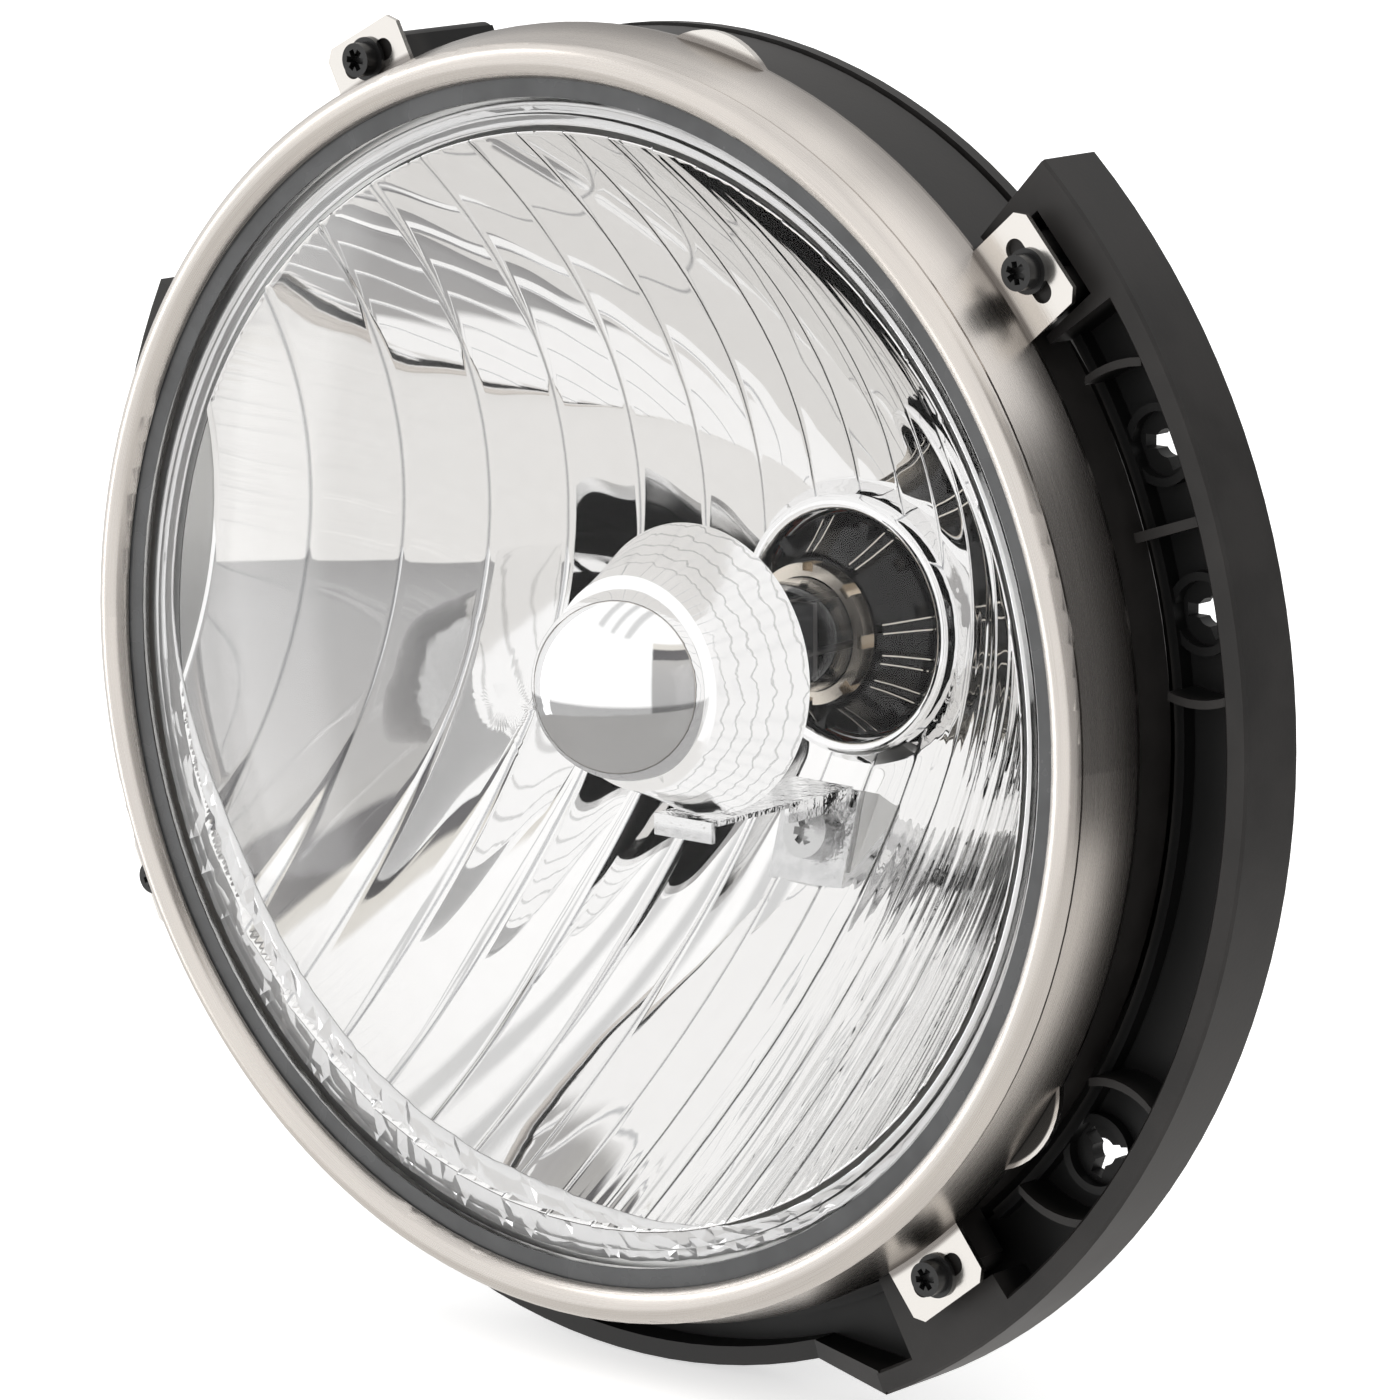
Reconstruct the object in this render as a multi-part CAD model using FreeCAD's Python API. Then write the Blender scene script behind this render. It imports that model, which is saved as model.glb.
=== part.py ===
"""Seven inch round car headlight: lamp, clamping ring, tilting bucket, wall bracket and aim adjuster.

Millimetres. +Z is up, the lamp looks along -Y, and +X is to the viewer's right.
Depths are drawn from the plane of the clamping ring's front opening, and each finished piece
is then moved so that the origin is the centre of the bracket's rear mounting face.
"""
import FreeCAD
import Part
import math
import os

V = FreeCAD.Vector
ORIGIN = V(0, 0, 0)
Y_AXIS = V(0, 1, 0)
os.makedirs("parts", exist_ok=True)

# clamping ring, stainless sheet
OPENING_R = 87.5
BEAD_R = 92.7
SKIRT_R = 94.7
SKIRT_END = 10.6
SHEET = 0.8
# each tab: angle, radius of its screw, radius of its tip
TABS = ((41.2, 100.4, 105.0), (117.8, 97.8, 102.0), (205.0, 99.0, 103.2), (308.2, 98.8, 103.2))
TAB_HALF = 7.6
TAB_CORNER = 1.5
LIP_ANGLES = (77.0, 167.0, 257.0, 325.5)

# small flat where a turned surface meets its own axis
AXIS_FLAT = 0.5

# lens and reflector
LENS_R = 84.6
LENS_APEX = -13.4
FLANGE_R = 89.0
VERTEX_Y = 72.0
FOCAL = 23.65
REFLECTOR_RIM_R = 79.5
WALL = 2.4
NECK_R = 17.5
NECK_OUT_R = 22.0
NECK_FRONT = 67.5
NECK_END = 76.0
VENT_X = 30.0
VENT_END = 67.0

# bulb shield
SHIELD_Z = -1.4
NOSE_R = 13.9
NOSE_Y = 15.0
SHIELD_FRONT_R = 15.8
SHIELD_REAR_R = 21.6
SHIELD_REAR = 30.0
STRAP_HALF = 5.5
PAD_Y = 58.5
PAD_Z = -31.0
PAD_TILT = 17.0

# bulb
PLUG_FRONT = 67.2
SEAL_Y = 69.2

# bucket
BUCKET_R = 93.0
BOSS_HALF = 5.6
BOSS_WALL = 2.4
BOSS_END = 18.4
LONG_BOSS_END = 32.0
UPPER_LEFT = 117.8

# tilt axis and adjuster
TILT_Y = 44.0
PIN_R = 3.0
RUN_GAP = 0.3
ADJ_Z = -74.0
BALL_R = 4.0
ROD_R = 3.0

# bracket
RIM_R = 110.0
RIM_IN_R = 106.4
INNER_R = 94.4
INNER_WALL = 1.6
EDGE = 0.4
RIM_FRONT = 14.0
RIM_BACK = 26.0
FLOOR_FRONT = 21.5
FLOOR_BACK = 24.0
LEFT_FRONT = 20.0
PLATE_FRONT = 37.5
PLATE_BACK = 40.5
PLATE_IN_R = 64.5
INNER_FRONT = 19.0
RIGHT_END = -63.9
FLANGE_END = -70.5
FLANGE_FRONT = 17.0
FLANGE_R0 = 99.7
FLANGE_R1 = 102.5
WINDOWS = ((4.0, 17.0), (19.2, 42.0))
HOLE_RADIUS = 100.2
RIGHT_HOLES = (25.2, 11.6, -35.8)
LEFT_HOLES = (163.0, 183.0)
BOLT_X = 58.0
BOLT_Z = 44.0
BOLT_HOLE_R = 3.3

# curved ribs of the right wing, (x, z) points along each
RIB_A = ((81.2, 50.4), (85.0, 52.6), (90.6, 54.0))
RIB_B = ((95.8, 8.6), (100.2, 8.0), (106.8, 9.6))
RIB_C = ((83.2, -47.6), (87.8, -47.2), (94.0, -50.2))
RIB_D = ((71.2, -65.0), (76.0, -67.6), (83.2, -68.0))


def polar(r, deg, y):
    a = math.radians(deg)
    return V(r * math.cos(a), y, r * math.sin(a))


def spin(shape, deg):
    """Turn a shape from the +X direction to the given angle in the XZ plane."""
    shape.rotate(ORIGIN, Y_AXIS, -deg)
    return shape


def rod(x, z, r, y0, y1):
    return Part.makeCylinder(r, y1 - y0, V(x, y0, z), Y_AXIS)


def tube(r_in, r_out, y0, y1, x=0.0, z=0.0):
    return rod(x, z, r_out, y0, y1).cut(rod(x, z, r_in, y0 - 1, y1 + 1))


def box(x0, x1, y0, y1, z0, z1):
    return Part.makeBox(x1 - x0, y1 - y0, z1 - z0, V(x0, y0, z0))


def prism(points, y0, y1):
    """Straight sided solid from (x, z) corners."""
    corners = [V(x, y0, z) for x, z in points]
    return Part.Face(Part.makePolygon(corners + corners[:1])).extrude(V(0, y1 - y0, 0))


def polar_box(r0, r1, half, y0, y1, deg):
    return spin(box(r0, r1, y0, y1, -half, half), deg)


def sector(r_in, r_out, y0, y1, a0, a1):
    """Part of a flat ring between two angles."""
    mid = (a0 + a1) / 2
    outer = Part.Arc(polar(r_out, a0, y0), polar(r_out, mid, y0), polar(r_out, a1, y0)).toShape()
    inner = Part.Arc(polar(r_in, a1, y0), polar(r_in, mid, y0), polar(r_in, a0, y0)).toShape()
    side_a = Part.makeLine(polar(r_out, a1, y0), polar(r_in, a1, y0))
    side_b = Part.makeLine(polar(r_in, a0, y0), polar(r_out, a0, y0))
    face = Part.Face(Part.Wire([outer, side_a, inner, side_b]))
    return face.extrude(V(0, y1 - y0, 0))


def outline(steps):
    """Closed wire from (r, y) corners; a step with four numbers is an arc through a middle point."""
    edges = []
    here = V(steps[0][0], steps[0][1], 0)
    for step in list(steps[1:]) + [steps[0][:2]]:
        there = V(step[-2], step[-1], 0)
        if here.distanceToPoint(there) < 1e-6:
            continue
        if len(step) == 4:
            edges.append(Part.Arc(here, V(step[0], step[1], 0), there).toShape())
        else:
            edges.append(Part.makeLine(here, there))
        here = there
    return Part.Wire(edges)


def lathe(steps, z=0.0, start=0.0, sweep=360.0):
    """Turned solid about the lamp axis from (r, y) corners."""
    shape = Part.Face(outline(steps)).revolve(ORIGIN, Y_AXIS, -sweep)
    spin(shape, start)
    shape.translate(V(0, 0, z))
    return shape


def fuse(*shapes):
    solids = [s for shape in shapes for s in shape.Solids]
    body = solids[0]
    for solid in solids[1:]:
        body = body.fuse(solid)
    return body


def slot_shape(half_len, r, y0, y1):
    """Round ended slot on the lamp axis, long in Z."""
    top = Part.Arc(V(r, y0, half_len), V(0, y0, half_len + r), V(-r, y0, half_len)).toShape()
    down = Part.makeLine(V(-r, y0, half_len), V(-r, y0, -half_len))
    bottom = Part.Arc(V(-r, y0, -half_len), V(0, y0, -half_len - r), V(r, y0, -half_len)).toShape()
    up = Part.makeLine(V(r, y0, -half_len), V(r, y0, half_len))
    return Part.Face(Part.Wire([top, down, bottom, up])).extrude(V(0, y1 - y0, 0))


def save(shape, name):
    """Move a finished piece to the mounting face and write it."""
    placed = shape.copy()
    placed.translate(V(0, -PLATE_BACK, 0))
    placed.exportStep("parts/" + name + ".step")


# ---------------------------------------------------------------- clamping ring
def tab_opening(deg, screw_r):
    hole = fuse(rod(0, 0, 2.9, 8, 14), slot_shape(3.5, 1.6, 8, 14))
    hole.translate(V(screw_r, 0, 0))
    return spin(hole, deg)


def ring_tab(deg, tip):
    near = SKIRT_R - 0.9
    far = tip - TAB_CORNER
    side = TAB_HALF - TAB_CORNER
    corners = [(near, -TAB_HALF), (far, -TAB_HALF), (tip, -side),
               (tip, side), (far, TAB_HALF), (near, TAB_HALF)]
    return spin(prism(corners, SKIRT_END - SHEET, SKIRT_END), deg)


def skirt_lip(deg):
    """Half moon flare pressed out of the skirt's rear edge."""
    moon = rod(84.2, 0, 13.0, SKIRT_END - 1.0, SKIRT_END)
    return spin(moon.cut(rod(0, 0, SKIRT_R - 0.6, 5, 15)), deg)


def retaining_ring():
    lip = SHEET
    body = lathe([
        (OPENING_R, 0.7),
        (90.0, -1.6, BEAD_R - 0.1, 0.2),
        (BEAD_R - 0.3, 0.9),
        (SKIRT_R, SKIRT_END - 0.6),
        (SKIRT_R, SKIRT_END),
        (SKIRT_R - lip, SKIRT_END),
        (BEAD_R - 0.3 - lip, 1.1),
        (BEAD_R - 0.1 - lip, 0.4),
        (90.0, -0.8, OPENING_R + lip, 0.7)])
    tabs = [ring_tab(a, tip) for a, screw_r, tip in TABS]
    lips = [skirt_lip(a) for a in LIP_ANGLES]
    body = fuse(body, *tabs, *lips)
    for a, screw_r, tip in TABS:
        body = body.cut(tab_opening(a, screw_r))
    return body


def ring_screw(deg, screw_r):
    head = fuse(rod(0, 0, 2.5, 6.9, 9.3), rod(0, 0, 3.2, 9.2, SKIRT_END - SHEET))
    shank = rod(0, 0, 1.7, 9.6, 17.4)
    socket = fuse(*[spin(box(-1.6, 1.6, 6.5, 8.4, -0.45, 0.45), a) for a in (0, 60, 120)])
    screw = fuse(head, shank).cut(socket)
    screw.translate(V(screw_r, 0, 0))
    return spin(screw, deg)


# ---------------------------------------------------------------- lens and reflector
def lens():
    return lathe([
        (0.0, LENS_APEX),
        (AXIS_FLAT, LENS_APEX),
        (43.0, -9.9, LENS_R, 0.8),
        (LENS_R, 3.6),
        (FLANGE_R, 3.6),
        (FLANGE_R, 6.0),
        (82.0, 6.0),
        (82.0, 3.4),
        (42.0, -6.9, AXIS_FLAT, LENS_APEX + 3.2),
        (0.0, LENS_APEX + 3.2)])


def lens_gasket():
    return lathe([
        (LENS_R + 0.2, 1.0),
        (OPENING_R + 2.0, 1.0),
        (FLANGE_R + 0.6, 1.5),
        (FLANGE_R + 0.6, 3.5),
        (LENS_R + 0.2, 3.5)])


def bowl_y(r):
    return VERTEX_Y - r * r / (4 * FOCAL)


def reflector_bowl():
    radii = [NECK_R + 1, 30, 42, 54, 66, REFLECTOR_RIM_R]
    inner = Part.BSplineCurve()
    inner.interpolate([V(r, bowl_y(r), 0) for r in radii])
    outer = Part.BSplineCurve()
    outer.interpolate([V(r + WALL * 0.8, bowl_y(r) + WALL, 0) for r in reversed(radii)])
    first = V(radii[0], bowl_y(radii[0]), 0)
    last = V(radii[-1], bowl_y(radii[-1]), 0)
    back_last = V(radii[-1] + WALL * 0.8, bowl_y(radii[-1]) + WALL, 0)
    back_first = V(radii[0] + WALL * 0.8, bowl_y(radii[0]) + WALL, 0)
    wire = Part.Wire([inner.toShape(), Part.makeLine(last, back_last),
                      outer.toShape(), Part.makeLine(back_first, first)])
    return Part.Face(wire).revolve(ORIGIN, Y_AXIS, 360)


def bayonet_neck():
    neck = tube(NECK_R, NECK_OUT_R, NECK_FRONT, NECK_END)
    groove = tube(NECK_R - 1, 19.4, 70.4, 74.6)
    neck = neck.cut(groove)
    for deg in (60, 180, 300):
        neck = neck.cut(polar_box(NECK_R - 1, 19.4, 4.4, 74.0, NECK_END + 1, deg))
    return neck


def on_pad(shape):
    """Tip a shape drawn square to the lamp axis onto the sloping strap seat."""
    shape.rotate(V(0, PAD_Y, PAD_Z), V(1, 0, 0), -PAD_TILT)
    return shape


def shield_pad():
    return on_pad(box(-7.5, 7.5, PAD_Y, PAD_Y + 12.0, PAD_Z - 8.0, PAD_Z + 7.6)).common(bowl_filler())


def bowl_filler():
    """Everything in front of the middle of the reflector's wall."""
    radii = [0, 12, 24, 36, 48, 60, 70]
    curve = Part.BSplineCurve()
    curve.interpolate([V(r, bowl_y(r) + 1.2, 0) for r in radii])
    top = Part.makeLine(V(radii[-1], bowl_y(radii[-1]) + 1.2, 0), V(radii[-1], 0, 0))
    side = Part.makeLine(V(radii[-1], 0, 0), V(0, 0, 0))
    axis = Part.makeLine(V(0, 0, 0), V(0, VERTEX_Y + 1.2, 0))
    return Part.Face(Part.Wire([curve.toShape(), top, side, axis])).revolve(ORIGIN, Y_AXIS, 360)


def reflector():
    flange = lathe([
        (REFLECTOR_RIM_R, bowl_y(REFLECTOR_RIM_R) - 0.2),
        (REFLECTOR_RIM_R + 0.6, 6.1),
        (FLANGE_R, 6.1),
        (FLANGE_R, 9.3),
        (REFLECTOR_RIM_R + 2.0, 9.3)])
    ribs = [polar_box(24, 50, 1.2, 52, 74.5, a).cut(bowl_filler()) for a in (0, 60, 120, 180, 240, 300)]
    cone = lathe([(21, 74.5), (24, 74.5), (58, 44), (58, 30), (21, 30)])
    ribs = [r.common(cone) for r in ribs]
    vent = rod(VENT_X, VENT_X, 4.0, 48, VENT_END).cut(bowl_filler())
    body = fuse(reflector_bowl(), flange, bayonet_neck(), shield_pad(), vent, *ribs)
    body = body.cut(rod(0, 0, NECK_R, 40, 70))
    return body.cut(on_pad(rod(0, PAD_Z, 1.5, PAD_Y - 2.0, PAD_Y + 14.0)))


def reflector_collar():
    """Bright sleeve round the bulb opening."""
    return lathe([
        (NECK_R + 0.1, NECK_FRONT - 3.0),
        (18.6, NECK_FRONT - 3.6, 19.8, NECK_FRONT - 2.8),
        (19.8, NECK_FRONT - 0.1),
        (NECK_R + 0.1, NECK_FRONT - 0.1)])


def vent_cap():
    cap = fuse(rod(VENT_X, VENT_X, 6.0, 60, VENT_END + 5), rod(VENT_X, VENT_X, 4.6, VENT_END + 5, VENT_END + 7))
    return cap.cut(rod(VENT_X, VENT_X, 4.05, 50, VENT_END + 0.2)).cut(bowl_back())


def bowl_back():
    """Everything in front of a surface just behind the reflector's wall."""
    shape = bowl_filler()
    shape.translate(V(0, 3.4, 0))
    return shape


# ---------------------------------------------------------------- bulb shield
def bulb_shield():
    apex = NOSE_Y - NOSE_R
    dome = NOSE_R * math.sqrt(0.5)
    return lathe([
        (SHIELD_REAR_R, SHIELD_REAR),
        (18.2, NOSE_Y + 7.4, SHIELD_FRONT_R, NOSE_Y + 1.0),
        (NOSE_R, NOSE_Y + 0.6),
        (dome, NOSE_Y - dome, AXIS_FLAT, apex),
        (0.0, apex),
        (0.0, apex + 0.8),
        (AXIS_FLAT, apex + 0.8),
        (9.2, NOSE_Y - 9.2, 13.1, NOSE_Y + 1.4),
        (SHIELD_FRONT_R - 0.9, NOSE_Y + 1.8),
        (17.4, NOSE_Y + 7.8, SHIELD_REAR_R - 0.8, SHIELD_REAR)], z=SHIELD_Z)


def shield_strap():
    start = SHIELD_Z - SHIELD_REAR_R - 0.15
    leg = box(-STRAP_HALF, STRAP_HALF, SHIELD_REAR - 2.0, PAD_Y + 1.7, start - 0.8, start)
    hook = box(-STRAP_HALF, STRAP_HALF, SHIELD_REAR - 2.8, SHIELD_REAR - 2.0, start - 3.2, start)
    foot = on_pad(box(-7.0, 7.0, PAD_Y - 0.9, PAD_Y, PAD_Z - 7.5, PAD_Z + 7.5))
    sides = [box(x - 0.4, x + 0.4, PAD_Y - 14.0, PAD_Y + 0.2, start - 3.0, start)
             for x in (-STRAP_HALF, STRAP_HALF)]
    strap = fuse(leg, hook, foot, *sides)
    return strap.cut(on_pad(rod(0, PAD_Z, 2.1, PAD_Y - 8.0, PAD_Y + 8.0)))


def shield_screw():
    head = rod(0, PAD_Z, 4.0, PAD_Y - 3.3, PAD_Y - 0.9)
    shank = rod(0, PAD_Z, 1.45, PAD_Y - 1.0, PAD_Y + 7.0)
    star = []
    for deg in (0, 60, 120):
        bar = spin(box(-2.0, 2.0, PAD_Y - 4, PAD_Y - 2.0, -0.6, 0.6), deg)
        bar.translate(V(0, 0, PAD_Z))
        star.append(bar)
    return on_pad(fuse(head, shank).cut(fuse(*star)))


# ---------------------------------------------------------------- bulb
def bulb_glass():
    return lathe([
        (0.0, 17.0),
        (AXIS_FLAT, 17.0),
        (6.2, 18.6, 8.6, 24.0),
        (8.6, 60.0),
        (7.6, 60.0),
        (7.6, 24.2),
        (5.6, 19.4, AXIS_FLAT, 18.0),
        (0.0, 18.0)])


def bulb_collar():
    grip = tube(8.75, 10.7, 56.0, 62.0)
    slots = [polar_box(9.5, 11, 1.0, 55, 58.5, a) for a in range(0, 360, 45)]
    return grip.cut(fuse(*slots))


def bulb_base():
    plug = rod(0, 0, 16.9, PLUG_FRONT, 78.0)
    seat = rod(0, 0, 10.6, 62.0, PLUG_FRONT).cut(rod(0, 0, 8.7, 50, 63))
    flange = rod(0, 0, 20.5, 76.4, 79.0)
    body = rod(0, 0, 15.5, 79.0, 90.0)
    lugs = [polar_box(16.0, 19.0, 3.9, 71.0, 74.0, a) for a in (90, 210, 330)]
    ribs = [polar_box(10.0, 16.6, 0.9, PLUG_FRONT - 3.0, PLUG_FRONT + 0.2, a) for a in range(15, 375, 30)]
    shroud = box(-14.0, 14.0, 90.0, 111.0, -8.5, 8.5).cut(box(-12.2, 12.2, 93.0, 112.0, -6.7, 6.7))
    latch = box(-4.0, 4.0, 96.0, 104.0, 8.5, 10.2)
    grips = [polar_box(15.0, 18.5, 2.2, 79.0, 88.0, a) for a in (0, 90, 180, 270)]
    solid = fuse(plug, seat, flange, body, shroud, latch, *lugs, *ribs, *grips)
    solid = solid.cut(tube(15.2, 18.0, SEAL_Y - 1.1, SEAL_Y + 1.1))
    for x in (-8.0, 0.0, 8.0):
        solid = solid.cut(box(x - 3.2, x + 3.2, 88.0, 94.0, -0.45, 0.45))
    return solid


def bulb_seal():
    return Part.makeTorus(16.2, 0.95, V(0, SEAL_Y, 0), Y_AXIS)


def filament(y, z, length):
    coil = rod(0, 0, 0.75, -length / 2, length / 2).cut(rod(0, 0, 0.35, -length, length))
    coil.rotate(ORIGIN, V(0, 0, 1), 90)
    coil.translate(V(0, y, z))
    return coil


def filament_frame():
    """Lead wires and the small dip cup that hold the two filaments."""
    wires = [rod(x, z, 0.45, 38.0, 62.9) for x, z in ((-4.6, -1.6), (0.0, 5.2), (4.6, -1.6))]
    bridge = box(-5.0, 5.0, 50.6, 51.6, -5.4, 5.6)
    return fuse(bridge, *wires)


def terminal(x):
    return box(x - 3.1, x + 3.1, 88.1, 106.0, -0.4, 0.4)


# ---------------------------------------------------------------- bucket
def screw_boss(deg, screw_r):
    """Block behind a ring tab with two round ridges along it."""
    end = LONG_BOSS_END if deg == UPPER_LEFT else BOSS_END
    top = screw_r + BOSS_WALL
    front = SKIRT_END + 0.1
    block = box(90.8, top - 1.4, front, end, -BOSS_HALF, BOSS_HALF)
    ridges = [rod(top - 2.6, z, 2.6, front, end) for z in (-3.0, 3.0)]
    return spin(fuse(block, *ridges), deg)


def pivot_ear(side):
    ear = fuse(box(68.4, 72.4, 29.9, TILT_Y, -7.0, 7.0), ear_eye())
    ear = ear.cut(Part.makeCylinder(PIN_R + RUN_GAP + 1.2, 20, V(60, TILT_Y, 0), V(1, 0, 0)))
    if side < 0:
        ear = ear.mirror(ORIGIN, V(1, 0, 0))
    return ear


def ear_eye():
    return Part.makeCylinder(7.0, 4.0, V(68.4, TILT_Y, 0), V(1, 0, 0))


def lamp_bucket():
    shell = lathe([
        (92.2, 6.2),
        (BUCKET_R, SKIRT_END),
        (BUCKET_R, 20.0),
        (88.5, 26.0),
        (76.0, 32.0),
        (68.2, 32.0),
        (68.2, 29.8),
        (75.4, 29.8),
        (86.8, 24.4),
        (90.6, 19.4),
        (90.6, 12.2),
        (86.0, 12.2),
        (86.0, 9.4),
        (90.5, 9.4),
        (90.5, 6.2)])
    hood = lathe([(90.6, 18.0), (BUCKET_R - 0.2, 18.0), (BUCKET_R - 0.2, 27.8), (91.8, 27.8), (91.8, 28.8),
                  (93.2, 28.8), (93.2, 31.0), (90.6, 31.0)], start=47.6, sweep=104.0)
    seat = rod(0, ADJ_Z, 9.0, 29.8, 34.0).cut(rod(0, 0, 67.4, 20, 40))
    bosses = [screw_boss(a, screw_r) for a, screw_r, tip in TABS]
    body = fuse(shell, hood, seat, *bosses, pivot_ear(1), pivot_ear(-1))
    body = body.cut(rod(0, ADJ_Z, 5.2, 20, 40))
    for a, screw_r, tip in TABS:
        body = body.cut(spin(rod(screw_r, 0, 1.75, 5, BOSS_END - 0.6), a))
    return body


def pivot_bushing(side):
    x = 67.9 if side > 0 else -72.9
    bush = Part.makeCylinder(PIN_R + RUN_GAP + 1.15, 5.0, V(x, TILT_Y, 0), V(1, 0, 0))
    return bush.cut(Part.makeCylinder(PIN_R + RUN_GAP, 9.0, V(x - 1, TILT_Y, 0), V(1, 0, 0)))


def adjuster_socket():
    """Snap-in cup for the rod's ball, open to the rear."""
    cavity = BALL_R + RUN_GAP
    mouth = 3.3
    lip = TILT_Y + math.sqrt(cavity ** 2 - mouth ** 2)
    return lathe([
        (0.0, 30.0),
        (5.15, 30.0),
        (5.15, 34.1),
        (8.4, 34.1),
        (8.4, 36.0),
        (6.4, 36.0),
        (6.4, TILT_Y + 4.6),
        (4.6, TILT_Y + 4.6),
        (mouth, lip),
        (cavity, TILT_Y, 0.0, TILT_Y - cavity)], z=ADJ_Z)


# ---------------------------------------------------------------- adjuster
def adjuster_rod():
    ball = Part.makeSphere(BALL_R, V(0, TILT_Y, ADJ_Z))
    neck = rod(0, ADJ_Z, 2.0, TILT_Y + 2, TILT_Y + 9)
    shank = rod(0, ADJ_Z, ROD_R, TILT_Y + 9, 88.0)
    tip = Part.makeCone(ROD_R, 2.0, 1.5, V(0, 88.0, ADJ_Z), Y_AXIS)
    return fuse(ball, neck, shank, tip)


def adjuster_knob():
    collar = rod(0, ADJ_Z, 10.0, 57.6, 61.0)
    hub = rod(0, ADJ_Z, 6.8, 61.0, 67.5)
    grip = rod(0, ADJ_Z, 12.0, 67.5, 77.0)
    for i in range(12):
        a = math.radians(i * 30)
        flute = rod(12.8 * math.cos(a), ADJ_Z + 12.8 * math.sin(a), 1.9, 67, 78)
        grip = grip.cut(flute)
    knob = fuse(collar, hub, grip)
    return knob.cut(rod(0, ADJ_Z, ROD_R + RUN_GAP, 50, 80))


def adjuster_housing():
    base = box(-22.0, 22.0, PLATE_BACK, PLATE_BACK + 2.6, ADJ_Z - 9.0, ADJ_Z + 9.0)
    barrel = rod(0, ADJ_Z, 13.2, PLATE_BACK, 61.6)
    webs = [box(x0, x0 + 8.4, PLATE_BACK, 52.0, ADJ_Z - 1.2, ADJ_Z + 1.2) for x0 in (-21.0, 12.6)]
    solid = fuse(base, barrel, *webs)
    solid = solid.cut(rod(0, ADJ_Z, 9.6, PLATE_BACK - 1, 54.6))
    solid = solid.cut(rod(0, ADJ_Z, 3.8, 50, 60))
    solid = solid.cut(rod(0, ADJ_Z, 10.4, 57.0, 62.0))
    for x in (-17.5, 17.5):
        solid = solid.cut(box(x - 3.6, x + 3.6, PLATE_BACK + 2.6, 60.0, ADJ_Z - 9, ADJ_Z + 9).common(
            rod(x, ADJ_Z, 3.6, PLATE_BACK, 60.0)))
        solid = solid.cut(rod(x, ADJ_Z, 1.9, PLATE_BACK - 1, PLATE_BACK + 4))
    return solid


def adjuster_retainer():
    cap = rod(0, ADJ_Z, 13.2, 61.65, 64.0)
    return cap.cut(rod(0, ADJ_Z, 7.2, 60, 66))


def housing_screw(x):
    head = rod(x, ADJ_Z, 3.2, PLATE_BACK + 2.6, PLATE_BACK + 4.8)
    shank = rod(x, ADJ_Z, 1.8, PLATE_FRONT - 2.0, PLATE_BACK + 2.7)
    slot = box(x - 2.2, x + 2.2, PLATE_BACK + 3.8, PLATE_BACK + 6, ADJ_Z - 0.5, ADJ_Z + 0.5)
    cross = box(x - 0.5, x + 0.5, PLATE_BACK + 3.8, PLATE_BACK + 6, ADJ_Z - 2.2, ADJ_Z + 2.2)
    return fuse(head, shank).cut(slot).cut(cross)


# ---------------------------------------------------------------- bracket
def rim(front, a0, a1):
    """Outer wall with softened front and rear edges."""
    profile = [(RIM_IN_R, front + EDGE), (RIM_IN_R + EDGE, front), (RIM_R - EDGE, front),
               (RIM_R, front + EDGE), (RIM_R, RIM_BACK - EDGE), (RIM_R - EDGE, RIM_BACK),
               (RIM_IN_R, RIM_BACK)]
    return lathe(profile, start=a0, sweep=a1 - a0)


def wing(front, inner_front, floor_front, floor_back, a0, a1):
    """Open pocket between the inner wall and the outer rim."""
    floor = sector(INNER_R + 0.2, RIM_IN_R + 1, floor_front, floor_back, a0, a1)
    inner = sector(INNER_R, INNER_R + INNER_WALL, inner_front, RIM_BACK + 0.5, a0, a1)
    return fuse(rim(front, a0, a1), floor, inner)


def end_wall(front, floor_back, a0):
    return sector(INNER_R + 0.2, RIM_IN_R + 1, front, floor_back, a0, a0 + 1.5)


def tab_block(front, a0, a1):
    return sector(INNER_R, RIM_IN_R + 1, front, FLOOR_BACK, a0, a1)


def rib(front, r0, r1, deg, floor):
    return polar_box(r0, r1, 0.7, front, floor, deg)


def bowed_rib(points, front, floor):
    """Curved rib whose centre line passes through three (x, z) points."""
    (x0, z0), (x1, z1), (x2, z2) = points
    lift = 1.2
    near = Part.Arc(V(x0, front, z0), V(x1, front, z1), V(x2, front, z2)).toShape()
    far = Part.Arc(V(x2, front, z2 + lift), V(x1, front, z1 + lift), V(x0, front, z0 + lift)).toShape()
    end_a = Part.makeLine(V(x2, front, z2), V(x2, front, z2 + lift))
    end_b = Part.makeLine(V(x0, front, z0 + lift), V(x0, front, z0))
    face = Part.Face(Part.Wire([near, end_a, far, end_b]))
    return face.extrude(V(0, floor - front, 0))


def trilobe(deg, turn, long_arm, y0, y1):
    """Three armed opening in a wing's floor."""
    arms = []
    for i, length in enumerate((3.7, 3.7, long_arm)):
        arm = box(0, length, y0, y1, -0.95, 0.95)
        arms.append(spin(arm, turn + 120 * i))
    hole = fuse(rod(0, 0, 2.0, y0, y1), *arms)
    hole.translate(polar(HOLE_RADIUS, deg, 0))
    return hole


def boss_ring(deg, y0, y1, r=5.8):
    c = polar(HOLE_RADIUS, deg, 0)
    return tube(4.6, r, y0, y1, c.x, c.z)


def back_web(a0, a1):
    """Cone that ties the wings to the back plate."""
    wall_r = INNER_R + INNER_WALL
    profile = [(INNER_R, RIM_BACK - 2.5), (wall_r, RIM_BACK - 2.5), (wall_r, RIM_BACK),
               (88.0, PLATE_BACK), (84.0, PLATE_BACK), (84.0, PLATE_FRONT)]
    return lathe(profile, start=a0, sweep=a1 - a0)


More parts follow.
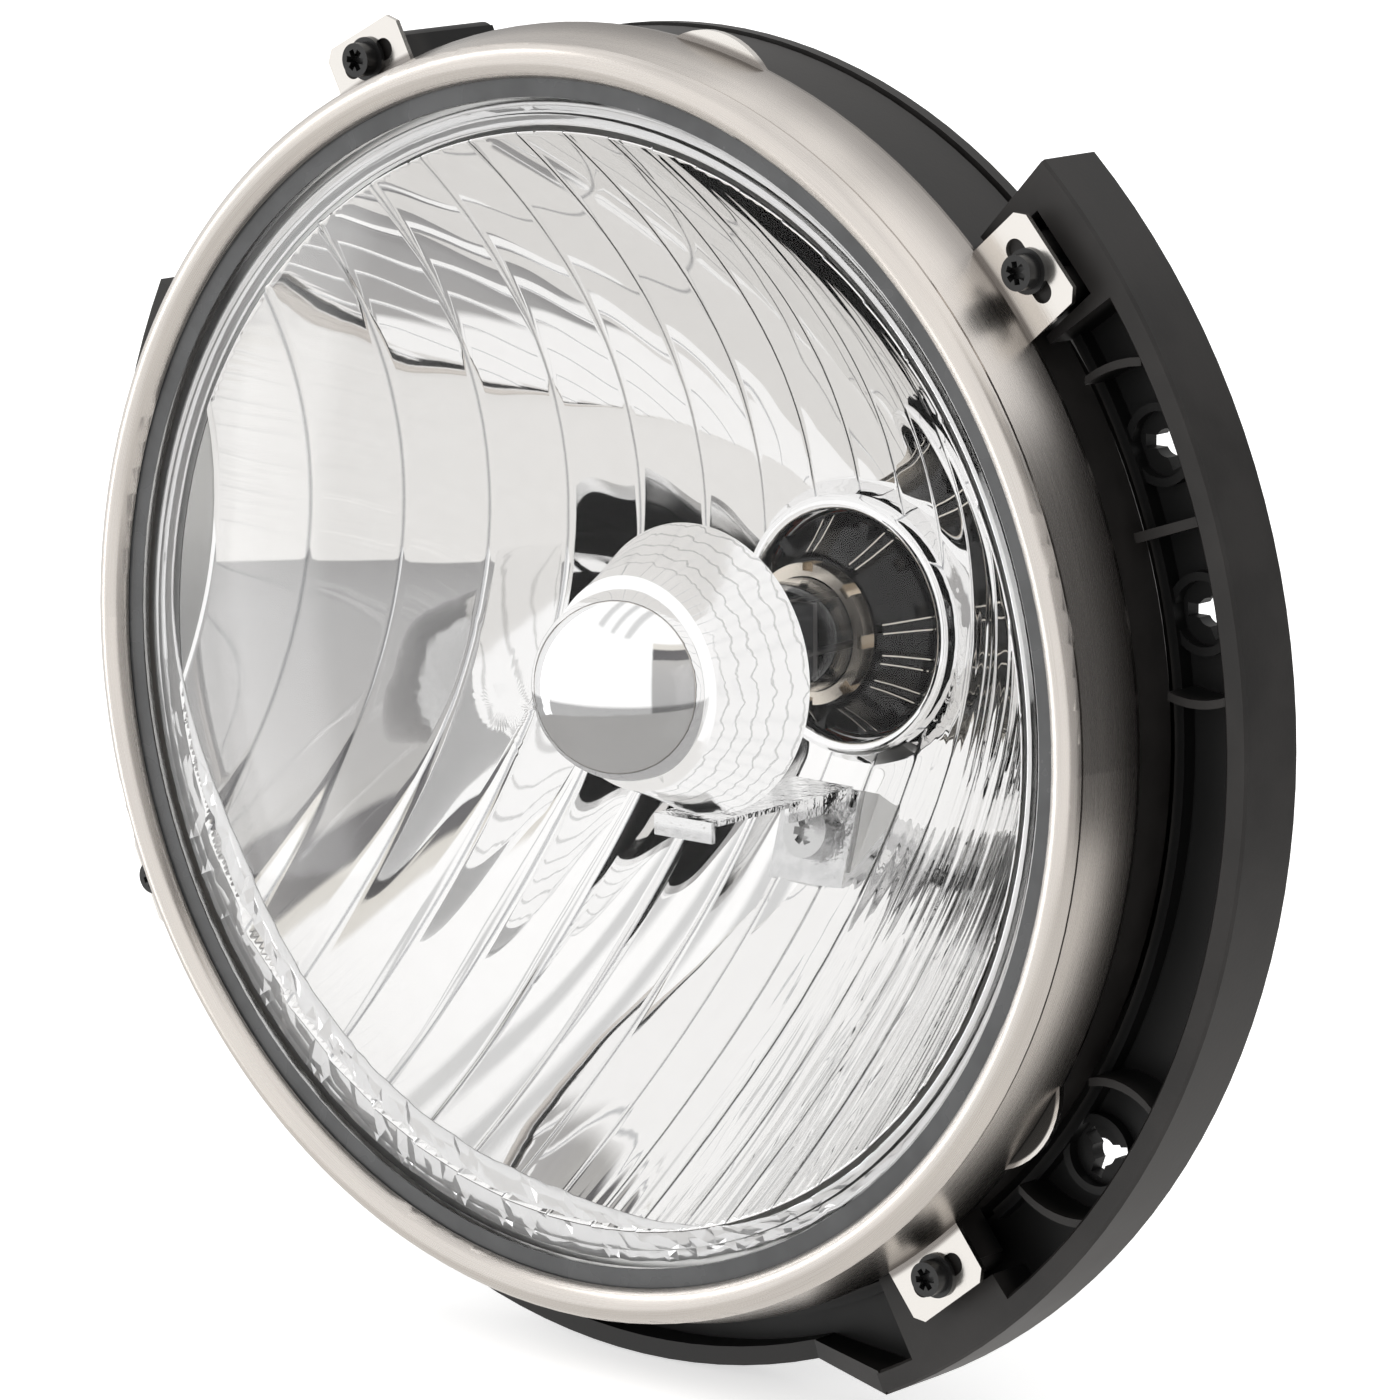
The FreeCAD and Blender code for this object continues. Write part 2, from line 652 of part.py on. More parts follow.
def pivot_lug(side):
    lug = fuse(box(74.0, 78.0, PLATE_FRONT, TILT_Y, -7.5, 7.5),
               Part.makeCylinder(7.5, 4.0, V(74.0, TILT_Y, 0), V(1, 0, 0)))
    lug = lug.cut(Part.makeCylinder(PIN_R + 0.01, 20, V(70, TILT_Y, 0), V(1, 0, 0)))
    if side < 0:
        lug = lug.mirror(ORIGIN, V(1, 0, 0))
    return lug


def right_wing():
    parts = [wing(RIM_FRONT, INNER_FRONT, FLOOR_FRONT, FLOOR_BACK, RIGHT_END, 47.3)]
    parts.append(tab_block(RIM_FRONT, 36.2, 47.3))
    parts.append(tab_block(RIM_FRONT, -60.0, -48.8))
    parts.append(rib(15.2, INNER_R + 0.5, RIM_IN_R + 0.5, 18.6, FLOOR_BACK))
    for points in (RIB_A, RIB_B, RIB_C, RIB_D):
        parts.append(bowed_rib(points, 15.2, FLOOR_BACK))
    parts += [boss_ring(a, FLOOR_FRONT - 1.8, FLOOR_BACK) for a in RIGHT_HOLES]
    return parts


def left_wing():
    parts = [wing(LEFT_FRONT, LEFT_FRONT + 1.0, 23.5, RIM_BACK, 154.0, 216.0)]
    parts += [end_wall(LEFT_FRONT, RIM_BACK, a) for a in (154.0, 214.5)]
    parts.append(sector(INNER_R, RIM_IN_R + 1, LEFT_FRONT, RIM_BACK, 199.0, 211.0))
    parts += [rib(21.0, INNER_R + 0.5, RIM_IN_R + 0.5, a, RIM_BACK) for a in (158.0, 173.0, 193.0)]
    parts += [boss_ring(a, 22.0, RIM_BACK) for a in LEFT_HOLES]
    return parts


def wall_section(r0, r1, deg, front):
    """Closed wire across a standing wall."""
    corners = [polar(r, deg, y) for r, y in ((r0, front), (r1, front), (r1, RIM_BACK), (r0, RIM_BACK))]
    return Part.makePolygon(corners + corners[:1])


def lower_corner():
    """Slanting wall that steps the right wing's rim down to the lower flange."""
    wall = Part.makeLoft([wall_section(RIM_IN_R, RIM_R, RIGHT_END + 0.2, RIM_FRONT),
                          wall_section(FLANGE_R0, FLANGE_R1, FLANGE_END - 0.2, FLANGE_FRONT)], True, True)
    edge = [polar(r, a, 0) for r, a in ((INNER_R + 0.2, RIGHT_END + 0.3), (RIM_IN_R + 0.6, RIGHT_END + 0.3),
                                        (FLANGE_R0 + 0.8, FLANGE_END - 0.3), (INNER_R + 0.2, FLANGE_END - 0.3))]
    floor = prism([(p.x, p.z) for p in edge], FLOOR_FRONT, FLOOR_BACK)
    inner = sector(INNER_R, INNER_R + INNER_WALL, INNER_FRONT, RIM_BACK + 0.5, FLANGE_END - 0.2, RIGHT_END + 0.2)
    return [wall, floor, inner]


def lower_flange():
    start, end = 216.0, FLANGE_END + 360.0
    wall = sector(FLANGE_R0, FLANGE_R1, FLANGE_FRONT, RIM_BACK, start, end)
    floor = sector(INNER_R + 0.2, FLANGE_R0 + 0.8, 22.0, 24.5, start, end)
    inner = sector(INNER_R, INNER_R + INNER_WALL, INNER_FRONT, RIM_BACK + 0.5, start, end)
    return [wall, floor, inner]


def back_plate():
    """Ring with the bolt holes, slotted for the tilt ears and hollowed for the pin heads."""
    plate = tube(PLATE_IN_R, 86.0, PLATE_FRONT, PLATE_BACK)
    plate = plate.cut(box(-73.4, 73.4, 30, 60, -9.5, 9.5))
    for x in (-80.6, 78.0):
        plate = plate.cut(Part.makeCylinder(5.6, 2.6, V(x, TILT_Y, 0), V(1, 0, 0)))
    return plate


def mounting_bracket():
    parts = right_wing() + left_wing() + lower_corner() + lower_flange()
    parts += [end_wall(RIM_FRONT, FLOOR_BACK, 45.8)]
    parts += [back_web(FLANGE_END, 47.3), back_web(154.0, FLANGE_END + 360.0)]
    parts += [back_plate(), pivot_lug(1), pivot_lug(-1)]
    parts += [rod(x, ADJ_Z, 4.2, PLATE_FRONT - 2.5, PLATE_BACK) for x in (-17.5, 17.5)]
    body = fuse(*parts)
    for a0, a1 in WINDOWS:
        body = body.cut(sector(81.0, INNER_R + INNER_WALL + 0.2, FLOOR_BACK + 0.2, 50, a0, a1))
    for deg, screw_r, tip in TABS:
        body = body.cut(polar_box(90.0, screw_r + BOSS_WALL + 1.3, 7.0, 8.0, FLOOR_FRONT, deg))
    for deg, turn, arm in zip(RIGHT_HOLES, (60, 60, 130), (3.7, 3.7, 5.6)):
        body = body.cut(trilobe(deg, turn, arm, 10, 30))
    for deg in LEFT_HOLES:
        body = body.cut(trilobe(deg, 0, 3.7, 10, 30))
    for x in (-BOLT_X, BOLT_X):
        for z in (-BOLT_Z, BOLT_Z):
            body = body.cut(rod(x, z, BOLT_HOLE_R, 30, 50))
    body = body.cut(rod(0, ADJ_Z, 9.4, 30, 50))
    for x in (-17.5, 17.5):
        body = body.cut(rod(x, ADJ_Z, 1.85, 30, 50))
    return body


def pivot_pin(side):
    head = Part.makeCylinder(5.2, 1.8, V(78.05, TILT_Y, 0), V(1, 0, 0))
    shank = Part.makeCylinder(PIN_R, 12.2, V(67.2, TILT_Y, 0), V(1, 0, 0))
    pin = fuse(head, shank)
    if side < 0:
        pin = pin.mirror(ORIGIN, V(1, 0, 0))
    return pin


save(mounting_bracket(), "mounting_bracket")
save(adjuster_housing(), "adjuster_housing")
save(adjuster_retainer(), "adjuster_retainer")
save(Part.makeCompound([housing_screw(x) for x in (-17.5, 17.5)]), "housing_screws")
save(lamp_bucket(), "lamp_bucket")
save(adjuster_socket(), "adjuster_socket")
save(retaining_ring(), "retaining_ring")
save(Part.makeCompound([ring_screw(a, screw_r) for a, screw_r, tip in TABS]), "ring_screws")
save(lens_gasket(), "lens_gasket")
save(lens(), "lens")
save(reflector(), "reflector")
save(reflector_collar(), "reflector_collar")
save(vent_cap(), "vent_cap")
save(bulb_shield(), "bulb_shield")
save(shield_strap(), "shield_strap")
save(shield_screw(), "shield_screw")
save(adjuster_rod(), "adjuster_rod")
save(adjuster_knob(), "adjuster_knob")
save(bulb_glass(), "bulb_glass")
save(bulb_collar(), "bulb_collar")
save(bulb_base(), "bulb_base")
save(bulb_seal(), "bulb_seal")
save(filament(46.0, 0.0, 5.0), "filament_low")
save(filament(42.0, 1.8, 4.4), "filament_high")
save(filament_frame(), "filament_frame")
for name, side in (("left", -1), ("right", 1)):
    save(pivot_pin(side), "pivot_pin_" + name)
    save(pivot_bushing(side), "pivot_bushing_" + name)
for name, offset in (("left", -8.0), ("middle", 0.0), ("right", 8.0)):
    save(terminal(offset), "bulb_terminal_" + name)
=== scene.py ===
"""Seven inch car headlight assembly: finishes, fine meshes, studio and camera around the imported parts."""
import math

import bpy
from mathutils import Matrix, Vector, noise


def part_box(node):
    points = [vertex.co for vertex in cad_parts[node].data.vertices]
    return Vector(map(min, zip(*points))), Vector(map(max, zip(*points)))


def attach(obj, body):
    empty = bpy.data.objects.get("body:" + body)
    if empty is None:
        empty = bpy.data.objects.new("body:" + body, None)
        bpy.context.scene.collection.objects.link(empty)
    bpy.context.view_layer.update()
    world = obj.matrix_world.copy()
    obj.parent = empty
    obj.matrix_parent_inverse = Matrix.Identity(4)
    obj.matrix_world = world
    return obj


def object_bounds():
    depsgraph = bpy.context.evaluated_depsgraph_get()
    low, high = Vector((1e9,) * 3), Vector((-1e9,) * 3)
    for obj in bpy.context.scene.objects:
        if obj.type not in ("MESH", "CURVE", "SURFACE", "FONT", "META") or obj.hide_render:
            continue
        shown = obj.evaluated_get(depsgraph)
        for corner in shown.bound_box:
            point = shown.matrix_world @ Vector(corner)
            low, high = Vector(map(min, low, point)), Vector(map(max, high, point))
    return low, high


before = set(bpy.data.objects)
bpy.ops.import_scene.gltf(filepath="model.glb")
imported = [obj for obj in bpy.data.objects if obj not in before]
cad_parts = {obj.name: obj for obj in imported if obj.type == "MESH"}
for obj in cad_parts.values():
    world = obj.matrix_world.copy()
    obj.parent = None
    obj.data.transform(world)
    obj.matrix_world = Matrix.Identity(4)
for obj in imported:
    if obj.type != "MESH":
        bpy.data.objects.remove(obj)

CAD_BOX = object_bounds()
MM = 0.001

# depth of the clamping ring's front opening in the frame
OPENING_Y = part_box("lens_gasket")[0].y - 1.0 * MM

# ---------------------------------------------------------------- camera
VIEW_AZIMUTH = math.radians(39.97)
VIEW_ELEVATION = math.radians(11.43)
VIEW_DISTANCE = 1.0
VIEW_RIGHT = 19.69 * MM
VIEW_UP = -1.40 * MM
LENS_MM = 179.76


def view_axes():
    a, e = VIEW_AZIMUTH, VIEW_ELEVATION
    back = Vector((math.sin(a) * math.cos(e), -math.cos(a) * math.cos(e), math.sin(e)))
    right = Vector((math.cos(a), math.sin(a), 0.0))
    return right, back.cross(right), back


def make_camera():
    right, up, back = view_axes()
    centre = Vector((0.0, OPENING_Y, 0.0))
    data = bpy.data.cameras.new("camera")
    data.lens = LENS_MM
    data.sensor_width = 36.0
    data.clip_start = 0.01
    camera = bpy.data.objects.new("camera", data)
    bpy.context.scene.collection.objects.link(camera)
    camera.location = centre + right * VIEW_RIGHT + up * VIEW_UP + back * VIEW_DISTANCE
    camera.rotation_euler = back.to_track_quat("Z", "Y").to_euler()
    bpy.context.scene.camera = camera


# ---------------------------------------------------------------- node helpers
class Graph:
    """Short calls for building a shader tree."""

    def __init__(self, tree):
        self.tree = tree
        self.nodes = tree.nodes
        self.links = tree.links

    def new(self, kind, **settings):
        node = self.nodes.new(kind)
        for key, value in settings.items():
            setattr(node, key, value)
        return node

    def plug(self, socket, value):
        if hasattr(value, "is_output"):
            self.links.new(value, socket)
        else:
            socket.default_value = value

    def math(self, operation, a, b=0.0, c=0.0, clamp=False):
        node = self.new("ShaderNodeMath", operation=operation, use_clamp=clamp)
        for socket, value in zip(node.inputs, (a, b, c)):
            self.plug(socket, value)
        return node.outputs[0]

    def ramp(self, value, stops):
        node = self.new("ShaderNodeValToRGB")
        elements = node.color_ramp.elements
        while len(elements) < len(stops):
            elements.new(0.5)
        for element, (place, shade) in zip(elements, stops):
            element.position = place
            element.color = (*shade, 1.0)
        self.plug(node.inputs[0], value)
        return node.outputs[0]

    def span(self, value, low, high, at_low=0.0, at_high=1.0):
        """at_low below low, at_high above high, smooth between."""
        node = self.new("ShaderNodeMapRange", interpolation_type="SMOOTHSTEP")
        node.clamp = True
        self.plug(node.inputs[0], value)
        for socket, number in zip(node.inputs[1:5], (low, high, at_low, at_high)):
            socket.default_value = number
        return node.outputs[0]

    def window(self, value, low, high, soft):
        """1 between low and high, 0 outside, with soft edges."""
        rise = self.span(value, low - soft, low + soft)
        fall = self.span(value, high - soft, high + soft)
        return self.math("SUBTRACT", rise, fall)

    def mix(self, factor, a, b):
        node = self.new("ShaderNodeMix", data_type="RGBA")
        self.plug(node.inputs[0], factor)
        self.plug(node.inputs[6], a)
        self.plug(node.inputs[7], b)
        return node.outputs[2]

    def place(self):
        """Object coordinates in millimetres as x, y, z sockets."""
        coords = self.new("ShaderNodeTexCoord")
        scale = self.new("ShaderNodeVectorMath", operation="SCALE")
        scale.inputs["Scale"].default_value = 1.0 / MM
        self.links.new(coords.outputs["Object"], scale.inputs[0])
        parts = self.new("ShaderNodeSeparateXYZ")
        self.links.new(scale.outputs[0], parts.inputs[0])
        return parts.outputs[0], parts.outputs[1], parts.outputs[2]

    def polar(self):
        """Radius from the lamp axis, arc length round it and depth, in millimetres."""
        x, y, z = self.place()
        squares = self.math("ADD", self.math("MULTIPLY", x, x), self.math("MULTIPLY", z, z))
        radius = self.math("SQRT", squares)
        turn = self.math("ARCTAN2", z, x)
        return radius, turn, y

    def vector(self, x, y, z):
        node = self.new("ShaderNodeCombineXYZ")
        for socket, value in zip(node.inputs, (x, y, z)):
            self.plug(socket, value)
        return node.outputs[0]

    def noise(self, vector, scale, detail=3.0, rough=0.55):
        node = self.new("ShaderNodeTexNoise")
        self.links.new(vector, node.inputs["Vector"])
        node.inputs["Scale"].default_value = scale
        node.inputs["Detail"].default_value = detail
        node.inputs["Roughness"].default_value = rough
        return node.outputs[0]

    def bump(self, height, strength, distance_mm):
        node = self.new("ShaderNodeBump")
        node.inputs["Strength"].default_value = strength
        node.inputs["Distance"].default_value = distance_mm * MM
        self.links.new(height, node.inputs["Height"])
        return node.outputs[0]


def principled(name, **values):
    material = bpy.data.materials.new(name)
    material.use_nodes = True
    g = Graph(material.node_tree)
    shader = g.nodes["Principled BSDF"]
    for key, value in values.items():
        g.plug(shader.inputs[key.replace("_", " ")], value)
    return material, g, shader


def grey(level, warmth=0.0):
    return (level * (1.0 + warmth), level, level * (1.0 - warmth), 1.0)


# ---------------------------------------------------------------- studio
TABLE_EDGE = -21.2
TABLE_TONE = (0.87, 0.855, 0.835, 1.0)
ROOM_TONE = 0.62
OVERHEAD_TONE = 1.14
SEAM_TONE = 0.74
# upright screens: first and last azimuth, softness of the edges, brightness, warmth
SCREENS = (
    (-62.0, 46.0, 2.0, 1.12, 0.004),
    (-112.0, -72.0, 2.5, 1.0, 0.0),
    (-72.0, -60.0, 1.2, 3.2, 0.0))
DIM_SIDE = (35.0, 79.0)
DARK_CORNER = (79.0, 152.0)
DARK_CORNER_TONE = 0.10
# small lights: azimuth range and softness, elevation range and softness, brightness
SMALL_LIGHTS = (
    (96.0, 165.0, 4.0, 36.0, 50.0, 2.0, 1.3),
    (89.0, 95.0, 1.0, 22.0, 28.0, 1.0, 1.2),
    (160.0, 178.0, 1.0, -6.0, 1.0, 1.0, 2.0))
# grey seams between the overhead screens: place across the sky and half width
SEAMS = ((-0.42, 0.05), (-0.20, 0.04), (0.04, 0.05))
# tones of the dim side of the room by elevation
DARK_SIDE = (
    (-21.0, (0.36, 0.355, 0.355)),
    (-12.0, (0.45, 0.445, 0.445)),
    (15.0, (0.50, 0.49, 0.485)),
    (26.5, (0.53, 0.52, 0.505)),
    (28.0, (0.15, 0.145, 0.15)),
    (37.0, (0.13, 0.125, 0.13)),
    (38.5, (0.80, 0.77, 0.71)),
    (45.0, (0.84, 0.81, 0.76)))


def make_world():
    """Soft studio seen by direction: table below, white screens, a dim side of the room to the right."""
    world = bpy.data.worlds.new("studio")
    bpy.context.scene.world = world
    world.use_nodes = True
    g = Graph(world.node_tree)
    g.nodes.clear()
    coords = g.new("ShaderNodeTexCoord")
    parts = g.new("ShaderNodeSeparateXYZ")
    g.links.new(coords.outputs["Generated"], parts.inputs[0])
    x, y, z = parts.outputs
    el = g.math("DEGREES", g.math("ARCSINE", z))
    az = g.math("DEGREES", g.math("ARCTAN2", x, g.math("MULTIPLY", y, -1.0)))

    shade = grey(ROOM_TONE, 0.015)
    for low, high, soft, level, warmth in SCREENS:
        shade = g.mix(g.window(az, low, high, soft), shade, grey(level, warmth))
    stops = [((deg + 90.0) / 180.0, tone) for deg, tone in DARK_SIDE]
    side = g.ramp(g.math("MULTIPLY_ADD", el, 1 / 180.0, 0.5), stops)
    shade = g.mix(g.window(az, *DIM_SIDE, 1.5), shade, side)
    shade = g.mix(g.window(az, *DARK_CORNER, 1.5), shade, grey(DARK_CORNER_TONE))
    for az_low, az_high, az_soft, el_low, el_high, el_soft, level in SMALL_LIGHTS:
        across = g.window(az, az_low, az_high, az_soft)
        upright = g.window(el, el_low, el_high, el_soft)
        shade = g.mix(g.math("MULTIPLY", across, upright), shade, grey(level))
    overhead = grey(OVERHEAD_TONE, 0.004)
    for seam, half_width in SEAMS:
        overhead = g.mix(g.window(x, seam - half_width, seam + half_width, 0.03), overhead, grey(SEAM_TONE))
    shade = g.mix(g.span(el, 42.0, 45.0), shade, overhead)
    below = g.span(el, TABLE_EDGE - 0.3, TABLE_EDGE + 0.3, 1.0, 0.0)
    shade = g.mix(below, shade, TABLE_TONE)

    lit = g.new("ShaderNodeBackground")
    g.plug(lit.inputs[0], shade)
    plain = g.new("ShaderNodeBackground")
    plain.inputs[0].default_value = grey(1.0)
    path = g.new("ShaderNodeLightPath")
    both = g.new("ShaderNodeMixShader")
    g.links.new(path.outputs["Is Camera Ray"], both.inputs[0])
    g.links.new(lit.outputs[0], both.inputs[1])
    g.links.new(plain.outputs[0], both.inputs[2])
    out = g.new("ShaderNodeOutputWorld")
    g.links.new(both.outputs[0], out.inputs[0])


FLOOR_HALF = 4.0


def make_floor():
    size = FLOOR_HALF
    z = CAD_BOX[0][2] - 0.5 * MM
    mesh = bpy.data.meshes.new("floor")
    corners = [(-size, -size, z), (size, -size, z), (size, size, z), (-size, size, z)]
    mesh.from_pydata(corners, [], [(0, 1, 2, 3)])
    floor = bpy.data.objects.new("floor", mesh)
    bpy.context.scene.collection.objects.link(floor)
    material, g, shader = principled("floor_paper", Base_Color=grey(0.95), Roughness=0.9)
    g.plug(shader.inputs["Emission Color"], grey(1.0))
    g.plug(shader.inputs["Emission Strength"], 0.6)
    mesh.materials.append(material)
    floor.visible_glossy = False
    floor.visible_transmission = False


# ---------------------------------------------------------------- meshes
def new_piece(name, points, faces, material, smooth_deg=30.0):
    """Mesh object from points in millimetres, depths measured from the ring's opening."""
    mesh = bpy.data.meshes.new(name)
    mesh.from_pydata([(x * MM, OPENING_Y + y * MM, z * MM) for x, y, z in points], [], faces)
    mesh.validate()
    mesh.polygons.foreach_set("use_smooth", [True] * len(mesh.polygons))
    mesh.set_sharp_from_angle(angle=math.radians(smooth_deg))
    mesh.materials.append(material)
    piece = bpy.data.objects.new(name, mesh)
    bpy.context.scene.collection.objects.link(piece)
    return piece


def smoothstep(value, low, high):
    t = min(1.0, max(0.0, (value - low) / (high - low)))
    return t * t * (3.0 - 2.0 * t)


# ---------------------------------------------------------------- fluted mirror
BOWL_VERTEX = 72.0
BOWL_FOCAL = 23.65
MIRROR_RIM = 79.6
MIRROR_HOLE = 18.7
SKIN_GAP = 0.45
FLUTE_PITCH = 8.5
FLUTE_FIRST = -9
FLUTE_COUNT = 20
FLUTE_SHIFT = -1.3
FLUTE_LEAN = 0.13
FLUTE_BOW = 0.0009
FLUTE_STEPS = 22
ROW_STEP = 0.8


def flute_edge(index, z):
    return FLUTE_SHIFT + index * FLUTE_PITCH + FLUTE_LEAN * z + FLUTE_BOW * z * z


def wedge(x, z):
    """0 where a riser is a thin line, 1 where it is widest, at the lower left of the bowl."""
    rise = smoothstep(-z, 10.0, 42.0) * (1.0 - 0.8 * smoothstep(-z, 44.0, 66.0))
    return rise * (0.12 + 0.88 * smoothstep(-x, 20.0, 42.0))


def riser_share(x, z):
    """Part of a flute's width taken by its riser."""
    return 0.085 + 0.265 * wedge(x, z)


def flute_height(x, z):
    return 0.27 + 0.05 * smoothstep(-z, 20.0, 60.0) + 0.64 * wedge(x, z)


def flute_relief(u, share):
    """Height of the saw-tooth relief at a share u of the flute's width."""
    if u < 1.0 - share:
        t = u / (1.0 - share)
        return 1.0 - t - 0.25 * math.sin(math.pi * t)
    t = (u - 1.0 + share) / share
    return t * t * (3.0 - 2.0 * t)


def streaks(x, z):
    """Fine uneven ridges along the flutes at the lower right."""
    amount = smoothstep(x - 0.35 * z, 16.0, 46.0) * smoothstep(-z, -14.0, 12.0)
    if amount == 0.0:
        return 0.0
    across = x - FLUTE_LEAN * z - FLUTE_BOW * z * z
    drift = 1.3 * noise.noise(Vector((across * 0.2, z * 0.035, 4.0)))
    wave = math.sin(2.0 * math.pi * across / 3.1 + drift * 3.0)
    wave += 0.5 * math.sin(2.0 * math.pi * across / 1.45 + 1.7 + drift * 5.0)
    return amount * (0.085 * wave + 0.2 * noise.noise(Vector((across * 0.55, z * 0.05, 9.0))))


def mirror_depth(x, z, u, share, height):
    r2 = x * x + z * z
    base = BOWL_VERTEX - r2 / (4.0 * BOWL_FOCAL) - SKIN_GAP
    relief = height * flute_relief(u, share) + streaks(x, z)
    fade = smoothstep(math.sqrt(r2), 19.0, 23.0)
    ripple = 0.02 * noise.noise(Vector((x * 0.16, z * 0.16, 0.0)))
    return base - relief * fade - ripple


def mirror_columns():
    """(flute index, share of its width) of every column."""
    columns = []
    for index in range(FLUTE_FIRST, FLUTE_FIRST + FLUTE_COUNT):
        for step in range(FLUTE_STEPS):
            columns.append((index, step / FLUTE_STEPS))
    return columns


def column_share(step_share, share):
    """Crowds the last columns of a flute into its riser."""
    knee = 0.72
    if step_share < knee:
        return step_share / knee * (1.0 - share)
    return 1.0 - share + (step_share - knee) / (1.0 - knee) * share


def mirror_point(index, step_share, z):
    """A point of the fluted sheet, held to the bowl's rim and hole, and whether it was inside them."""
    left = flute_edge(index, z)
    share = riser_share(left, z)
    height = flute_height(left, z)
    u = column_share(step_share, share)
    x = left + u * FLUTE_PITCH
    r = math.hypot(x, z)
    keep = MIRROR_HOLE < r < MIRROR_RIM
    if r > MIRROR_RIM:
        x, z = x * MIRROR_RIM / r, z * MIRROR_RIM / r
    if r < MIRROR_HOLE and r > 0.1:
        x, z = x * MIRROR_HOLE / r, z * MIRROR_HOLE / r
    return (x, mirror_depth(x, z, u, share, height), z), keep


def grid_faces(rows, wide, inside):
    """Squares of a grid that have a corner inside."""
    faces = []
    for row in range(rows - 1):
        for col in range(wide - 1):
            a = row * wide + col
            quad = (a, a + wide, a + wide + 1, a + 1)
            if any(inside[i] for i in quad):
                faces.append(quad)
    return faces


def drop_unused(points, faces):
    used = sorted({i for face in faces for i in face})
    renumber = {old: new for new, old in enumerate(used)}
    return [points[i] for i in used], [tuple(renumber[i] for i in face) for face in faces]


def make_mirror(material):
    columns = mirror_columns()
    rows = int(2 * (MIRROR_RIM + 2) / ROW_STEP) + 1
    points = []
    inside = []
    for row in range(rows):
        z = -(MIRROR_RIM + 2) + row * ROW_STEP
        for index, step_share in columns:
            point, keep = mirror_point(index, step_share, z)
            points.append(point)
            inside.append(keep)
    points, faces = drop_unused(points, grid_faces(rows, len(columns), inside))
    piece = new_piece("reflector_mirror", points, faces, material, 22.0)
    shell = piece.modifiers.new("shell", "SOLIDIFY")
    shell.thickness = 0.3 * MM
    shell.offset = -1.0
    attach(piece, "lamp")


# ---------------------------------------------------------------- lens rim band
BAND_OUTER = 83.7
BAND_DEPTH = 4.7
BAND_STEPS = 280
BAND_ROWS = 5
# noise_vector takes the clock for its seed if it is given none
CRINKLE_SEED = 1794898976


def crinkle(deg):
    """How strongly the band is faceted at an angle: most along the lower left."""
    return smoothstep(deg, -178.0, -150.0) * (1.0 - smoothstep(deg, -70.0, -35.0))


def band_inner(deg):
    return 80.3 - 5.6 * smoothstep(deg, -185.0, -150.0) * (1.0 - smoothstep(deg, -100.0, -62.0))


def band_point(deg, row):
    """A point of the band, pushed about where the band is faceted."""
    a = math.radians(deg)
    inner = band_inner(deg)
    rough = 0.06 + 0.94 * crinkle(deg)
    t = row / BAND_ROWS
    r = inner + (BAND_OUTER - inner) * t
    sway = noise.noise_vector(Vector((r * math.cos(a) * 0.45, r * math.sin(a) * 0.45, 3.0)))
    edge = 0.3 if row in (0, BAND_ROWS) else 1.0
    lift = 0.75 * rough * sway.x * edge
    r += 1.1 * rough * sway.y * edge
    return (r * math.cos(a), BAND_DEPTH + 0.5 * math.sin(math.pi * t) + lift, r * math.sin(a))


def make_band(material):
    """Faceted bright band just inside the lens's rim."""
    noise.seed_set(CRINKLE_SEED)
    points = []
    for step in range(BAND_STEPS):
        deg = -185.0 + step * 360.0 / BAND_STEPS
        points += [band_point(deg, row) for row in range(BAND_ROWS + 1)]
    wide = BAND_ROWS + 1
    faces = []
    for step in range(BAND_STEPS):
        for row in range(BAND_ROWS):
            a = step * wide + row
            b = (step + 1) % BAND_STEPS * wide + row
            faces.append((a, b, b + 1))
            faces.append((a, b + 1, a + 1))
    piece = new_piece("lens_rim_band", points, faces, material, 9.0)
    shell = piece.modifiers.new("shell", "SOLIDIFY")
    shell.thickness = 0.25 * MM
    piece.visible_glossy = False
    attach(piece, "lamp")


# ---------------------------------------------------------------- bulb hub
HUB_FRONT = 58.6
HUB_BACK = 66.9
HUB_INNER = 10.9
HUB_OUTER = 16.4
FIN_ANGLES = (-34.0, -14.0, 8.0, 60.0, 100.0, 150.0, 200.0, 250.0, 290.0)
FIN_RADII = (11.4, 13.0, 14.8, 16.2)
FIN_WIDTH = 1.1
FIN_HEIGHT = 1.4
FIN_EDGE_WIDTH = 0.22
FIN_EDGE_TURN = 0.055


def turned(name, profile, material, steps=96, smooth_deg=35.0):
    """Closed turned mesh about the lamp axis from (r, y) corners."""
    points = []
    for step in range(steps):
        a = 2.0 * math.pi * step / steps
        points += [(r * math.cos(a), y, r * math.sin(a)) for r, y in profile]
    wide = len(profile)
    faces = []
    for step in range(steps):
        here, there = step * wide, (step + 1) % steps * wide
        for i in range(wide):
            j = (i + 1) % wide
            faces.append((here + i, there + i, there + j, here + j))
    return new_piece(name, points, faces, material, smooth_deg)


def strip_solid(name, path, width, height, material):
    """Square bar along a path of points, with its ends closed."""
    points = []
    for x, y, z in path:
        out = Vector((x, 0.0, z)).normalized()
        side = Vector((-out.z, 0.0, out.x)) * width / 2.0
        for across, up in ((-1, 0), (1, 0), (1, 1), (-1, 1)):
            points.append((x + side.x * across + out.x * height * up * 0.4,
                           y - height * up,
                           z + side.z * across + out.z * height * up * 0.4))
    faces = []
    for k in range(len(path) - 1):
        a, b = 4 * k, 4 * (k + 1)
        for i in range(4):
            j = (i + 1) % 4
            faces.append((a + i, a + j, b + j, b + i))
    faces.append((3, 2, 1, 0))
    last = 4 * (len(path) - 1)
    faces.append((last, last + 1, last + 2, last + 3))
    return new_piece(name, points, faces, material, 30.0)


